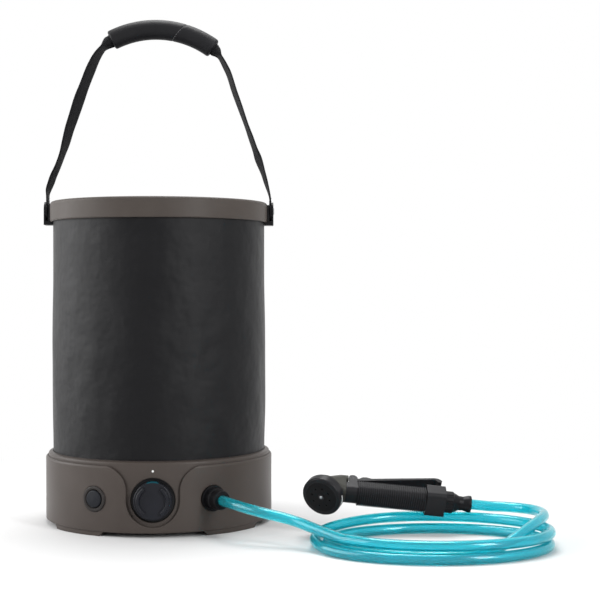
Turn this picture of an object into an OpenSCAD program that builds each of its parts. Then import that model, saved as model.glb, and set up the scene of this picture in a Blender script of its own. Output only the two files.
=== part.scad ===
// Camp shower: a collapsible fabric bucket on a pump base, with a battery pack,
// a carry handle, and a hose that ends in a trigger sprayer.
// Millimetres. The origin is on the ground under the bucket's axis, +Z up, the battery faces -Y.

/* [Base] */
// How far the skirt stands out from the fabric wall
base_step = 9.5; // [8.5:0.5:14]
// Thickness of the skirt
skirt_wall = 3; // [2.5:0.5:4]
// Height of the skirt's top edge
skirt_top = 88; // [86:1:96]
// Height of the base body's shoulder above the skirt
shoulder_h = 6; // [4:0.5:9]
// Height of the feet below the skirt
foot_h = 5.5; // [4:0.5:8]
// Angle from the front where a foot begins
foot_from = 27; // [20:1:32]
// Angle from the front where a foot ends
foot_to = 58; // [48:1:66]
// Wall of the base body
body_wall = 3; // [2.4:0.2:4]
// Thickness of the tank deck
deck_t = 3; // [2:0.5:4]
// Thickness of the bottom cover
cover_t = 3; // [2:0.5:4]

/* [Front fittings] */
// Height of the battery, button and outlet axes
axis_z = 46; // [44:0.5:50]
// Angle of the button and the outlet from the front
side_angle = 29.5; // [27:0.5:34]
// Radius of the skirt's cut-out round the battery
bib_r = 33; // [31:0.5:37]
// Radius of the flare at the top of the cut-out
bib_flare = 32; // [20:1:34]
// Outer radius of the button bezel and the outlet ring
bezel_r = 16; // [14:0.5:19]
// Radius of the power button
button_r = 10.7; // [9:0.1:12]
// How far the power button travels
button_travel = 2; // [1:0.1:2.5]

/* [Battery] */
// Radius of the battery pack's body
battery_r = 22.8; // [20:0.1:23.5]
// Radius of the battery pack's cap
cap_r = 23.6; // [22:0.1:24.5]
// How far the cap stands in front of the bib
cap_out = 13; // [8:0.5:20]
// Depth of the battery pack behind the bib
battery_depth = 105; // [80:1:110]
// Height of the grip ridges on the cap
ridge_h = 4; // [2:0.5:6]
// Wall of the battery socket
socket_wall = 4; // [3:0.5:5]

/* [Pump] */
// Pump centre to the right of the bucket's axis
pump_x = 78; // [74:1:84]
// Pump centre behind the bucket's axis
pump_y = 20; // [10:1:30]
// Outer radius of the pump housing
pump_r = 32; // [28:0.5:36]
// Wall of the pump housing
pump_wall = 3.2; // [2.4:0.2:4]
// Radius of the motor can
motor_r = 18; // [15:0.5:20]
// Radius of the motor shaft
shaft_r = 2; // [1.5:0.1:3]
// Number of impeller vanes
vanes = 6; // [4:1:8]
// Outer radius of the outlet pipe
pipe_r = 8; // [7:0.5:9]
// Radius of the water way in the outlet
bore_r = 5.2; // [4:0.2:6]

/* [Bucket] */
// Radius of the fabric wall
wall_r = 140; // [130:0.5:155]
// Thickness of the coated fabric
wall_t = 1.2; // [0.8:0.1:1.6]
// Height of the rim's lower edge
rim_low = 395; // [340:1:430]
// Height of the rim
rim_h = 26; // [24:0.5:32]
// How far the rim stands out from the fabric wall
rim_step = 4; // [3.5:0.5:6]

/* [Handle] */
// Width of the webbing
strap_w = 23; // [18:1:24]
// Thickness of the folded webbing
strap_t = 2.4; // [1.6:0.1:3]
// Height of the handle's centreline above the pivot
handle_rise = 242; // [200:1:270]
// Radius of the padded grip
grip_r = 13.4; // [11:0.1:15]
// Radius that the grip is bent to
grip_bend = 127; // [110:1:160]
// Half of the grip's length across
grip_half = 70; // [55:1:80]
// Radius of the handle's pivot pins
pivot_r = 3; // [2:0.1:4]
// How far the webbing is turned between its ends
strap_twist = 28; // [0:1:40]

/* [Hose] */
// Outer diameter of the hose
hose_d = 12.7; // [10:0.1:12.8]

/* [Sprayer] */
// Width of the handle
spray_w = 24; // [20:0.5:28]
// Depth of the handle
spray_h = 22; // [18:0.5:26]
// Length of the handle with its end block
spray_len = 125; // [118:1:140]
// Radius of the spray dial
dial_r = 25.5; // [22:0.5:28]
// Thickness of the spray dial
dial_t = 16; // [12:0.5:20]
// Angle between the handle and the spray axis
spray_angle = 66; // [55:1:75]
// Radius of the lever's pin
lever_pin_r = 2; // [1.5:0.1:2.5]
// Width of the lever
lever_w = 17; // [12:0.5:17.5]
// Number of ribs on the handle
ribs = 32; // [15:1:34]

/* [Hidden] */
$fn = 96;
fine = 480;

// Clearances
gap = 0.3;       // between pieces that lie beside each other
run = 0.06;      // radial, a pin or a shaft that turns in its bore
slide = 0.4;     // round pieces that slide past each other
cut = 1;         // how far a cutting shape reaches past the face that it cuts

// Colours
taupe = [0.37, 0.345, 0.32];
black = [0.12, 0.12, 0.13];
charcoal = [0.18, 0.18, 0.19];
teal = [0.08, 0.66, 0.76];
olive_grey = [0.36, 0.36, 0.33];
steel = [0.72, 0.72, 0.74];
brass = [0.8, 0.65, 0.3];
board_green = [0.1, 0.35, 0.2];
white = [0.95, 0.95, 0.93];

// Base
base_r = wall_r + base_step;
body_r = base_r - skirt_wall - gap;
body_in = body_r - body_wall;
base_top = skirt_top + shoulder_h;
deck_top = skirt_top - 1;
deck_low = deck_top - deck_t;
ledge_t = 4;
ledge_low = deck_low - ledge_t;
cover_low = foot_h + 0.5;
cover_top = cover_low + cover_t;
skirt_in = base_r - skirt_wall;
skirt_round = 3;
post_r = 5;
post_at = body_in - post_r - 0.5;
post_angles = [62, 118, 165, 195, 242, 298];
screw_r = 1.6;
screw_head = 3.2;
screw_head_h = 1.4;
deck_screw_at = wall_r - 9.5;
deck_screws_n = 10;
board_at = [28 - body_in, -12];
board_size = [70, 64];

// Battery
socket_in = battery_r + slide + 0.1;
socket_out = socket_in + socket_wall;
socket_front = body_r - 4.2;
socket_back = body_r - battery_depth - 6;
socket_end_t = 3;
battery_back = body_r - battery_depth;
cap_face = body_r + cap_out;
cap_back = body_r - 3;
seal_w = 3;
seal_at = socket_front - 12;
seal_depth = 1.5;
mark_from = body_r + 0.5;
mark_to = body_r + 8.5;
mark_depth = 0.8;
mark_half = 38;
ridge_half = 56;
dot_z = axis_z + 36;

// Pump
pump_low = 38;
pump_top = 58;
plate_t = 3;
motor_low = cover_top + 3;
motor_top = pump_low - plate_t;
inlet_r = 9;
flange_r = 19;
flange_t = 3;
impeller_r = pump_r - pump_wall - 2.6;
impeller_low = pump_low + 2.5;
impeller_top = pump_top - pump_wall - 2.5;
pipe_x = pump_x - (pump_r - pipe_r);
elbow_at = pipe_x / sin(side_angle);
fitting_in = elbow_at + pipe_r + 4;
ring_out = base_r + 2.5;
hose_seat = base_r + 10;
collar_out = hose_seat + 14;
collar_r = 13.5;
hose_r = hose_d / 2;

// Bucket
rim_r = wall_r + rim_step;
rim_top = rim_low + rim_h;
wall_low = deck_top + gap;
wall_top = rim_top - 7;
rim_in = wall_r - 6;
clamp_t = 3.2;
clamp_h = 10;

// Handle
clip_half = 12;
clip_plate = 2.4;
strap_room = strap_t + 0.8;
clip_in = rim_r + clip_plate;
clip_out = clip_in + strap_room + clip_plate;
strap_x = clip_in + strap_room / 2;
pivot_z = rim_top - 11;
clip_low = rim_low - 4;
eye_r = strap_w / 2 + 0.5;
eye_t = strap_t + 0.3;
web_top = pivot_z - eye_r - 2;
grip_z = pivot_z + handle_rise - grip_bend;
grip_turn = asin(grip_half / grip_bend);
grip_end = [grip_bend * sin(grip_turn), grip_z + grip_bend * cos(grip_turn)];
grip_out = [cos(grip_turn), -sin(grip_turn)];
// Webbing from the pivot eye to the grip: [outward from the axis, up, share of the twist]
function strap_mark(out, up, twist) = [grip_end.x + out * (strap_x - grip_end.x),
    pivot_z + up * (grip_end.y - pivot_z), twist];
strap_path = [
    [strap_x, pivot_z + 8, 0],
    [strap_x, pivot_z + 18, 0],
    [strap_x - 1, pivot_z + 30, 0.1],
    strap_mark(0.923, 0.208, 0.35),
    strap_mark(0.827, 0.326, 0.8),
    strap_mark(0.699, 0.4615, 1),
    strap_mark(0.571, 0.597, 1),
    strap_mark(0.442, 0.7285, 0.9),
    strap_mark(0.321, 0.8416, 0.7),
    strap_mark(0.212, 0.9186, 0.5),
    [grip_end.x + 8 * grip_out.x, grip_end.y + 8 * grip_out.y, 0.2],
    [grip_end.x + gap * grip_out.x, grip_end.y + gap * grip_out.y, 0.2]];

// Where the hose starts, on the outlet
hose_from = [hose_seat * sin(side_angle), -hose_seat * cos(side_angle)];

// Hose coil: loops pile up in two layers, spiral out above, drop, and spiral in below
coil_at = hose_from + [259.5, -85.2];
coil_half = [143, 106];
coil_pitch = 15;
coil_turn_back = 0.45;
coil_from = -0.40;
coil_to = 1.75;
coil_layer = hose_d + 0.8;
coil_rings = 24;
coil_sides = 6;
tube_sides = 10;

// Sprayer, drawn along X with the hose end at x = 0, the lever above and the spray below
spray_at = [coil_at.x + 45.5, coil_at.y + 90, 37.8];
spray_tilt = 6;
spray_roll = -64;
conn_back = -21;
block_len = 24;
block_w = 34;
block_h = 26;
block_end = conn_back - block_len;
bar_r = 8;
bar_end = conn_back - spray_len;
lever_at = [bar_end + 9, spray_h / 2 + 5];
lever_barrel = 4.5;
stem_x = lever_at.x + 18;
stem_r = 3;
stem_low = -3;
stem_travel = 3;
lever_t = 3.5;
lever_len = conn_back - 3 - lever_at.x;
lever_rise = 22;
dial_gap = 0.3;
spindle_r = 4;
face_r = 20;
face_t = 2.2;
// Centre of the dial's back, and the direction that it sprays
dial_back = [bar_end - 24, -2];

// Helpers

// Puts children on the base wall: their Z points outward, at an angle from the front
module at_wall(angle, r = 0) {
    rotate([0, 0, angle]) translate([0, -r, axis_z]) rotate([90, 0, 0]) children();
}

// A ring about Z
module ring(r_in, r_out, low, top) {
    rotate_extrude() translate([r_in, low]) square([r_out - r_in, top - low]);
}

// Points of an arc in the plane
function arc(at, r, from, to, steps = 5) =
    [for (i = [0:steps]) let (a = from + (to - from) * i / steps) at + r * [cos(a), sin(a)]];

function unit(v) = v / norm(v);

// Directions along a path, one for each point
function headings(path) = [for (i = [0:len(path) - 1])
    unit(path[min(i + 1, len(path) - 1)] - path[max(i - 1, 0)])];

// A closed skin over rings of equal count, in triangles
module skin(rings) {
    n = len(rings[0]);
    last = len(rings) - 1;
    sides = [for (i = [0:last - 1]) for (k = [0:n - 1]) let (
        a = i * n + k, b = i * n + (k + 1) % n, c = b + n, d = a + n) each [[a, c, b], [a, d, c]]];
    caps = [for (k = [1:n - 2]) each [[0, k, k + 1], [last * n, last * n + k + 1, last * n + k]]];
    polyhedron([for (r = rings) each r], concat(sides, caps), convexity = 8);
}

// A round tube along a path that is never upright
module tube(path, r, sides) {
    dirs = headings(path);
    skin([for (i = [0:len(path) - 1]) let (
        side = unit(cross(dirs[i], [0, 0, 1])), up = cross(side, dirs[i]))
        [for (k = [0:sides - 1]) let (a = 360 * (k + 0.5) / sides)
            path[i] - r * cos(a) * side + r * sin(a) * up]]);
}

// Base modules

module skirt_shell() {
    rotate_extrude() polygon(concat(
        [[skirt_in, foot_h], [base_r - 0.8, foot_h], [base_r, foot_h + 0.8]],
        arc([base_r - skirt_round, skirt_top - skirt_round], skirt_round, 0, 80),
        [[skirt_in, skirt_top]]));
}

// One foot, with its ends cut slanting
module foot(from, to) {
    foot_in = body_in + 0.4;
    foot_out = base_r - 1.1;
    difference() {
        rotate([0, 0, from - 94]) rotate_extrude(angle = to - from + 8)
            translate([foot_in, 0]) square([foot_out - foot_in, foot_h + 1]);
        for (end = [[from, 1], [to, 0]])
            rotate([0, 0, end.x]) translate([0, -base_r, 0]) mirror([end.y, 0, 0])
                rotate([0, 45, 0]) translate([0, -1, -20]) cube([30, 12, 40]);
    }
}

// Outline of the skirt's cut-out: a round bottom, upright sides and flared top corners
module bib_outline() {
    flare_z = skirt_top + 0.6 - bib_flare;
    translate([0, axis_z]) circle(r = bib_r);
    translate([-bib_r, axis_z]) square([2 * bib_r, skirt_top - axis_z + cut]);
    for (s = [0, 1]) mirror([s, 0]) difference() {
        translate([bib_r - 0.01, flare_z]) square([bib_flare, bib_flare + cut]);
        translate([bib_r + bib_flare, flare_z]) circle(r = bib_flare);
    }
}

module base_skirt() {
    color(taupe) difference() {
        union() {
            skirt_shell();
            for (a = [0, 180]) rotate([0, 0, a]) {
                foot(foot_from, foot_to);
                foot(-foot_to, -foot_from);
            }
        }
        rotate([90, 0, 0]) linear_extrude(base_r + cut) bib_outline();
        for (s = [-1, 1]) at_wall(s * side_angle, body_in)
            cylinder(r = bezel_r + gap, h = 30);
    }
}

module base_body() {
    inner_top = wall_r + gap;
    color(taupe) difference() {
        union() {
            rotate_extrude() polygon(concat(
                [[body_in, cover_top - 1], [body_r, cover_top - 1], [body_r, skirt_top]],
                arc([body_r - 3, base_top - 4], 3, 10, 80, 4),
                [[inner_top, base_top], [inner_top, deck_low], [deck_screw_at - 6, deck_low],
                    [deck_screw_at - 6, ledge_low], [body_in, ledge_low]]));
            for (a = post_angles) rotate([0, 0, a]) translate([0, -post_at, cover_top])
                cylinder(r = post_r, h = ledge_low - cover_top + 1);
            for (s = [-1, 1]) at_wall(-side_angle, body_r - 17) translate([s * 15, 0, 0])
                cylinder(r = 2.5, h = 15);
        }
        at_wall(0, body_in - 40) cylinder(r = socket_out + gap, h = 60);
        at_wall(-side_angle, body_in - 4) cylinder(r = button_r + slide, h = 12);
        at_wall(side_angle, body_in - 6) cylinder(r = pipe_r + 1 + gap, h = 14);
        translate([0, -body_r + 2, dot_z]) rotate([90, 0, 0]) cylinder(r = 1.5, h = 6);
        for (a = post_angles) rotate([0, 0, a]) translate([0, -post_at, cover_top - cut])
            cylinder(r = screw_r, h = 16);
        for (i = [0:deck_screws_n - 1]) rotate([0, 0, (i + 0.5) * 360 / deck_screws_n])
            translate([0, -deck_screw_at, ledge_low - cut]) cylinder(r = screw_r, h = 8);
    }
}

module tank_deck() {
    color(taupe) difference() {
        translate([0, 0, deck_low]) cylinder(r = wall_r, h = deck_t);
        translate([pump_x, pump_y, deck_low - cut]) cylinder(r = inlet_r, h = 20);
        for (i = [0:deck_screws_n - 1]) rotate([0, 0, (i + 0.5) * 360 / deck_screws_n])
            translate([0, -deck_screw_at, deck_low - cut]) cylinder(r = screw_r, h = 20);
    }
}

// Presses the foot of the fabric against the base body from inside
module wall_clamp() {
    clamp_r = wall_r - wall_t - gap;
    color(taupe) ring(clamp_r - clamp_t, clamp_r, deck_top, deck_top + clamp_h);
}

// A screw along Z, its head from z = 0 up
module screw(length) {
    rotate_extrude() polygon([[0, -length], [screw_r, -length], [screw_r, 0], [screw_head, 0],
        [screw_head - 0.6, screw_head_h], [0, screw_head_h]]);
}

module deck_screws() {
    color(steel) for (i = [0:deck_screws_n - 1]) rotate([0, 0, (i + 0.5) * 360 / deck_screws_n])
        translate([0, -deck_screw_at, deck_top]) screw(deck_t + 2.5);
}

module bottom_cover() {
    saddle_w = 40;
    color(black) difference() {
        union() {
            translate([0, 0, cover_low]) cylinder(r = body_in - gap, h = cover_t);
            translate([-saddle_w / 2, -socket_back - 75, cover_low])
                cube([saddle_w, 60, axis_z - socket_out - cover_low + 6]);
            translate([pump_x, pump_y, cover_low])
                cylinder(r = motor_r + 3, h = motor_low - cover_low + 5);
            for (x = [7, board_size.x - 7]) for (y = [7, board_size.y - 7])
                translate([board_at.x + x, board_at.y + y, cover_low]) cylinder(r = 3.5, h = 16);
        }
        at_wall(0) cylinder(r = socket_out + gap, h = 200);
        translate([pump_x, pump_y, motor_low]) cylinder(r = motor_r + gap, h = 20);
        for (a = post_angles) rotate([0, 0, a]) translate([0, -post_at, cover_low - cut])
            cylinder(r = screw_r, h = 20);
    }
}

module bottom_screws() {
    color(steel) for (a = post_angles) rotate([0, 0, a]) translate([0, -post_at, cover_low])
        mirror([0, 0, 1]) screw(cover_t + 10);
}

// Button modules

module button_bezel() {
    bezel_in = button_r + slide;
    face = base_r + 1.2;
    color(black) difference() {
        at_wall(-side_angle) rotate_extrude() polygon(concat(
            [[bezel_in, body_in], [bezel_r, body_in]],
            arc([bezel_r - 1.5, face - 1.5], 1.5, 0, 90, 4),
            [[bezel_in + 1.5, face], [bezel_in, face - 1.5]]));
        cylinder(r = body_r + 0.1, h = 200, $fn = fine);
    }
}

module power_button() {
    flange_top = body_in - 1.6;
    face = base_r + 2.2;
    color(black) at_wall(-side_angle) rotate_extrude() polygon(concat(
        [[0, flange_top - 2], [button_r + 1.8, flange_top - 2], [button_r + 1.8, flange_top],
            [button_r, flange_top]],
        arc([button_r - 1.6, face - 1.6], 1.6, 0, 80, 4),
        [[0, face + 0.8]]));
}

module button_switch() {
    board_at = body_r - 19;
    tip = body_in - 3.6 - button_travel - gap;
    color(board_green) at_wall(-side_angle, board_at)
        translate([-18, -10, 0]) cube([36, 20, 2]);
    color(black) at_wall(-side_angle, board_at) translate([-6, -6, 2]) cube([12, 12, 4]);
    color(black) at_wall(-side_angle, board_at) translate([0, 0, 6])
        cylinder(r = 3, h = tip - board_at - 6);
}

// Battery modules

module battery_socket() {
    color(black) difference() {
        at_wall(0) translate([0, 0, socket_back])
            cylinder(r = socket_out, h = socket_front - socket_back);
        at_wall(0) translate([0, 0, socket_back + socket_end_t])
            cylinder(r = socket_in, h = 200);
        for (x = [-10, 0, 10]) at_wall(0) translate([x, 0, socket_back - cut])
            cylinder(r = 2.5, h = 10);
    }
}

module battery_contacts() {
    color(brass) for (x = [-10, 0, 10]) at_wall(0) translate([x, 0, socket_back - 2]) {
        cylinder(r = 2.5, h = socket_end_t + 2);
        cylinder(r = 1.6, h = battery_back - socket_back + 2 - gap);
    }
}

// The pack: a sealed cylinder with a wider cap that has two curved grip ridges
module battery_pack() {
    face = cap_face - ridge_h;
    color(black) difference() {
        union() {
            at_wall(0) rotate_extrude() polygon(concat(
                [[0, battery_back], [battery_r - 1, battery_back], [battery_r, battery_back + 1],
                    [battery_r, seal_at - seal_w / 2],
                    [battery_r - seal_depth, seal_at - seal_w / 2],
                    [battery_r - seal_depth, seal_at + seal_w / 2],
                    [battery_r, seal_at + seal_w / 2],
                    [battery_r, cap_back], [cap_r, cap_back]],
                arc([cap_r - 2, face - 2], 2, 0, 90, 4),
                [[0, face]]));
            for (side = [0, 180]) at_wall(0) rotate([0, 0, side - ridge_half])
                rotate_extrude(angle = 2 * ridge_half) polygon(
                    [[cap_r - 8.6, face - 1], [cap_r - 2.6, face - 1], [cap_r - 3, cap_face - 1],
                        [cap_r - 4, cap_face], [cap_r - 6.4, cap_face], [cap_r - 7.4, cap_face - 1]]);
        }
        at_wall(0) rotate([0, 0, 90 - mark_half]) rotate_extrude(angle = 2 * mark_half)
            translate([cap_r - mark_depth, mark_from]) square([5, mark_to - mark_from]);
    }
}

module battery_seal() {
    seal_in = battery_r - seal_depth + 0.05;
    color(black) at_wall(0) rotate_extrude()
        translate([seal_in, seal_at - seal_w / 2 + 0.1]) square([socket_in - 0.1 - seal_in, seal_w - 0.2]);
}

// Coloured insert on the top of the cap
module battery_mark() {
    color(teal) at_wall(0) rotate([0, 0, 90 - mark_half + 0.3])
        rotate_extrude(angle = 2 * mark_half - 0.6)
            translate([cap_r - mark_depth + 0.02, mark_from + 0.05])
                square([mark_depth + 0.2, mark_to - mark_from - 0.1]);
}

module alignment_dot() {
    color(white) translate([0, -body_r + 2, dot_z]) rotate([90, 0, 0]) cylinder(r = 1.45, h = 2.3);
}

// Pump modules

module at_pump(z = 0) {
    translate([pump_x, pump_y, z]) children();
}

module pump_housing() {
    color(black) difference() {
        union() {
            at_pump(pump_low) cylinder(r = pump_r, h = pump_top - pump_low);
            at_pump(pump_top - 1) cylinder(r = inlet_r + 3, h = deck_low - pump_top + 1);
            at_pump(deck_low - flange_t) cylinder(r = flange_r, h = flange_t);
        }
        at_pump(pump_low - cut) cylinder(r = pump_r - pump_wall, h = pump_top - pump_low - pump_wall + cut);
        at_pump(pump_low) cylinder(r = inlet_r, h = 100);
        translate([pipe_x, pump_y - pump_r, axis_z]) rotate([-90, 0, 0])
            cylinder(r = bore_r, h = pump_r);
    }
}

module pump_backplate() {
    color(black) difference() {
        at_pump(pump_low - plate_t) cylinder(r = pump_r, h = plate_t);
        at_pump() cylinder(r = shaft_r + run, h = 100);
        at_pump(pump_low - 1.5) cylinder(r = 5, h = 10);
    }
}

module pump_motor() {
    color(steel) difference() {
        union() {
            at_pump(motor_low) cylinder(r = motor_r, h = motor_top - motor_low - 1.5);
            at_pump(motor_low) cylinder(r = 6, h = motor_top - motor_low);
        }
        at_pump(motor_low + 3) cylinder(r = shaft_r + run, h = 100);
    }
}

module motor_shaft() {
    color(steel) at_pump(motor_low + 3 + gap) cylinder(r = shaft_r, h = impeller_top - motor_low - 3 - gap);
}

module pump_impeller() {
    color(black) difference() {
        union() {
            at_pump(impeller_low) cylinder(r = impeller_r, h = 2);
            at_pump(impeller_low) cylinder(r = 6, h = impeller_top - impeller_low);
            for (i = [0:vanes - 1]) at_pump(impeller_low) rotate([0, 0, i * 360 / vanes])
                intersection() {
                    translate([0, impeller_r / 2, 0]) difference() {
                        cylinder(r = impeller_r / 2, h = impeller_top - impeller_low);
                        translate([0, 0, -cut]) cylinder(r = impeller_r / 2 - 2, h = 40);
                    }
                    translate([0, 0, -cut]) cube([40, 40, 40]);
                }
        }
        at_pump() cylinder(r = shaft_r, h = 100);
    }
}

module shaft_seal() {
    color(black) at_pump() ring(shaft_r + run, 5 - 0.05, pump_low - 1.5, pump_low);
}

// Domed grille over the pump's inlet
module inlet_strainer() {
    color(black) difference() {
        at_pump(deck_top) cylinder(r1 = inlet_r + 9, r2 = inlet_r + 6, h = 4);
        at_pump(deck_top - cut) cylinder(r = inlet_r + 1, h = 1 + cut);
        at_pump(deck_top - cut) cylinder(r = 1.6, h = 10);
        for (ring_n = [1, 2]) for (i = [0:6 * ring_n - 1])
            at_pump(deck_top - cut) rotate([0, 0, i * 60 / ring_n]) translate([ring_n * 4.2, 0, 0])
                cylinder(r = 1.4, h = 10);
    }
}

// Outlet modules

// The outlet's elbow, a point on its axis inside the base
module at_elbow() {
    translate([elbow_at * sin(side_angle), -elbow_at * cos(side_angle), axis_z]) children();
}

module pipe_run(r, reach) {
    at_elbow() cylinder(r = r + 0.9, h = 2 * r + 1.8, center = true);
    at_wall(side_angle, elbow_at) cylinder(r = r, h = fitting_in - elbow_at + reach);
    at_elbow() rotate([-90, 0, 0]) cylinder(r = r, h = elbow_at * cos(side_angle) + pump_y);
}

module outlet_pipe() {
    color(black) difference() {
        pipe_run(pipe_r, 0);
        pipe_run(bore_r, cut);
        at_pump(pump_low - cut) cylinder(r = pump_r + 0.05, h = 60);
    }
}

module outlet_fitting() {
    color(black) difference() {
        union() {
            difference() {
                at_wall(side_angle, body_in) cylinder(r = bezel_r, h = ring_out - body_in);
                cylinder(r = body_r + 0.1, h = 200, $fn = fine);
            }
            at_wall(side_angle, fitting_in) cylinder(r = pipe_r + 1, h = hose_seat - fitting_in);
        }
        at_wall(side_angle, fitting_in - cut) cylinder(r = bore_r, h = 100);
    }
}

// Nut that holds the hose on the outlet, ribbed for the fingers
module outlet_collar() {
    color(black) difference() {
        at_wall(side_angle) rotate_extrude() polygon([[pipe_r + 1 + 0.1, ring_out + 0.2],
            [collar_r, ring_out + 0.2], [collar_r, ring_out + 9], [collar_r - 1, ring_out + 10],
            [collar_r - 1.6, collar_out - 1], [collar_r - 2.6, collar_out],
            [hose_r + 0.2, collar_out], [hose_r + 0.2, hose_seat], [pipe_r + 1 + 0.1, hose_seat]]);
        for (i = [0:11]) at_wall(side_angle, ring_out + 1.2) rotate([0, 0, i * 30])
            translate([collar_r + 0.5, 0, 0]) cylinder(r = 1.1, h = 7);
    }
}

module control_board() {
    board_z = cover_low + 16;
    translate([board_at.x, board_at.y, board_z]) {
        color(board_green) cube([board_size.x, board_size.y, 1.6]);
        color(black) translate([15, 17, 1.6]) cube([14, 14, 2]);
        color(black) translate([40, 37, 1.6]) cube([10, 12, 4]);
        color(steel) for (x = [37, 51]) translate([x, 14, 1.6]) cylinder(r = 5, h = 14);
    }
}

// Bucket modules

module bucket_wall() {
    color(charcoal) ring(wall_r - wall_t, wall_r, wall_low, wall_top);
}

// Moulded rim, a channel that opens downward over the top of the fabric
module rim_ring() {
    outer_in = wall_r + 0.4;
    inner_out = rim_in + 2.6;
    channel = rim_top - 5;
    color(taupe) difference() {
        rotate_extrude() polygon(concat(
            [[outer_in, rim_low], [rim_r - 1, rim_low], [rim_r, rim_low + 1]],
            arc([rim_r - 4, rim_top - 4], 4, 0, 90, 5),
            arc([rim_in + 3, rim_top - 3], 3, 90, 180, 4),
            [[rim_in, rim_low + 4], [inner_out, rim_low + 4], [inner_out, channel],
                [outer_in, channel]]));
        for (s = [-1, 1]) translate([s * (wall_r - 1.5), 0, pivot_z]) rotate([0, s * 90, 0])
            cylinder(r = pivot_r, h = 20);
    }
}

// Hoop that presses the fabric against the rim from inside
module rim_hoop() {
    color(black) ring(rim_in + 2.6 + 0.2, wall_r - wall_t - 0.2, rim_low + 4, rim_top - 5 - gap);
}

// Handle modules

// Strap clip on the rim: two cheeks, a web below and a lip under the rim's edge
module clip() {
    color(black) difference() {
        union() {
            translate([rim_r - 8, -clip_half, clip_low])
                cube([clip_in - rim_r + 8, 2 * clip_half, rim_top - 3 - clip_low]);
            translate([rim_r, -clip_half, clip_low])
                cube([clip_out - rim_r, 2 * clip_half, web_top - clip_low]);
            translate([clip_out - clip_plate, 0, 0]) rotate([90, 0, 90]) linear_extrude(clip_plate) {
                translate([-clip_half, clip_low]) square([2 * clip_half, pivot_z - clip_low]);
                translate([0, pivot_z]) circle(r = clip_half);
            }
        }
        translate([0, 0, rim_low - 0.1]) cylinder(r = rim_r + 0.1, h = 100, $fn = fine);
        cylinder(r = wall_r + 0.5, h = 1000, $fn = fine);
        translate([rim_r - 10, 0, pivot_z]) rotate([0, 90, 0]) cylinder(r = pivot_r, h = 40);
    }
}

module clip_right() { clip(); }

module clip_left() { mirror([1, 0, 0]) clip(); }

module pivot_pins() {
    color(steel) for (s = [0, 1]) mirror([s, 0, 0])
        translate([wall_r + 0.8, 0, pivot_z]) rotate([0, 90, 0]) {
            cylinder(r = pivot_r, h = clip_out - wall_r - 0.8);
            translate([0, 0, clip_out - wall_r - 0.8]) cylinder(r1 = pivot_r + 2, r2 = pivot_r + 1, h = 1.2);
        }
}

// The webbing turns edge-on between the clip and the grip
function strap_ring(i, dirs) =
    let (p = strap_path[i], d = dirs[i], flat = [-d.z, 0, d.x], a = p.z * strap_twist,
        wide = cos(a) * [0, 1, 0] + sin(a) * flat, thick = cos(a) * flat - sin(a) * [0, 1, 0],
        at = [p.x, 0, p.y])
    [for (c = [[-1, -1], [1, -1], [1, 1], [-1, 1]])
        at + c.x * strap_w / 2 * wide + c.y * strap_t / 2 * thick];

module strap() {
    dirs = headings([for (p = strap_path) [p.x, 0, p.y]]);
    color(black) {
        skin([for (i = [0:len(strap_path) - 1]) strap_ring(i, dirs)]);
        difference() {
            translate([strap_x - eye_t / 2, 0, 0]) rotate([90, 0, 90]) linear_extrude(eye_t) {
                translate([0, pivot_z]) circle(r = eye_r);
                translate([-eye_r, pivot_z]) square([2 * eye_r, 9]);
            }
            translate([rim_r, 0, pivot_z]) rotate([0, 90, 0]) cylinder(r = pivot_r + run, h = 20);
        }
    }
}

module strap_right() { strap(); }

module strap_left() { mirror([1, 0, 0]) strap(); }

module handle_grip() {
    color(charcoal) translate([0, 0, grip_z]) rotate([90, 0, 0]) rotate([0, 0, 90 - grip_turn])
        rotate_extrude(angle = 2 * grip_turn) translate([grip_bend, 0]) circle(r = grip_r);
}

// Hose modules

// A point of the coil after a number of turns, counted from the right-hand end
function coil_point(turn) =
    let (inset = coil_pitch * abs(turn - coil_turn_back),
        t = min(1, max(0, (turn - coil_turn_back + 0.18) / 0.35)),
        z = hose_r + coil_layer * (1 - t * t * (3 - 2 * t)))
    [coil_at.x + (coil_half.x - inset) * cos(360 * turn),
        coil_at.y + (coil_half.y - inset) * sin(360 * turn), z];
function coil_heading(turn) = unit(coil_point(turn + 0.002) - coil_point(turn - 0.002));

coil_start = coil_point(coil_from) - hose_d * coil_heading(coil_from);
coil_finish = coil_point(coil_to) + hose_d * coil_heading(coil_to);
coil_steps = ceil(coil_rings * (coil_to - coil_from));
coil_path = concat([coil_start],
    [for (i = [0:coil_steps]) coil_point(coil_from + (coil_to - coil_from) * i / coil_steps)],
    [coil_finish]);

// From the outlet over the coil's left-hand bends and down on to its front
function outlet_point(r) = [r * sin(side_angle), -r * cos(side_angle), axis_z];
lead_path = concat([outlet_point(hose_seat), outlet_point(hose_seat + hose_d)],
    [for (p = [[17.5, -31.2, 45.5], [33.5, -51.2, 43.5], [55.5, -65.2, 39.5], [79.5, -73.2, 35],
        [99.5, -85.2, 30.5], [117.5, -103.2, 26]]) [hose_from.x + p.x, hose_from.y + p.y, p.z]],
    [coil_start - hose_d * coil_heading(coil_from), coil_start]);

// From the coil's inner loop, up over its right-hand bends and back into the sprayer
spray_dir = [cos(spray_tilt), 0, -sin(spray_tilt)];
tail_path = concat([coil_finish, coil_finish + hose_d / 2 * coil_heading(coil_to)],
    [for (p = [[30, -84.6, 7], [48.5, -78.2, 10], [69, -68.8, 16], [88, -55, 23.3],
        [105.5, -37, 30], [119.5, -17, 33.6], [129.5, 4, 34.6], [134.2, 20, 34.5],
        [135.4, 36, 34.3], [132.8, 52.7, 34], [125.1, 67.7, 33.8], [113.1, 79.7, 33.6],
        [98.1, 87.4, 33.6], [81.4, 90, 34]]) [coil_at.x + p.x, coil_at.y + p.y, p.z]],
    [spray_at + hose_d * 1.6 * spray_dir, spray_at]);

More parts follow.
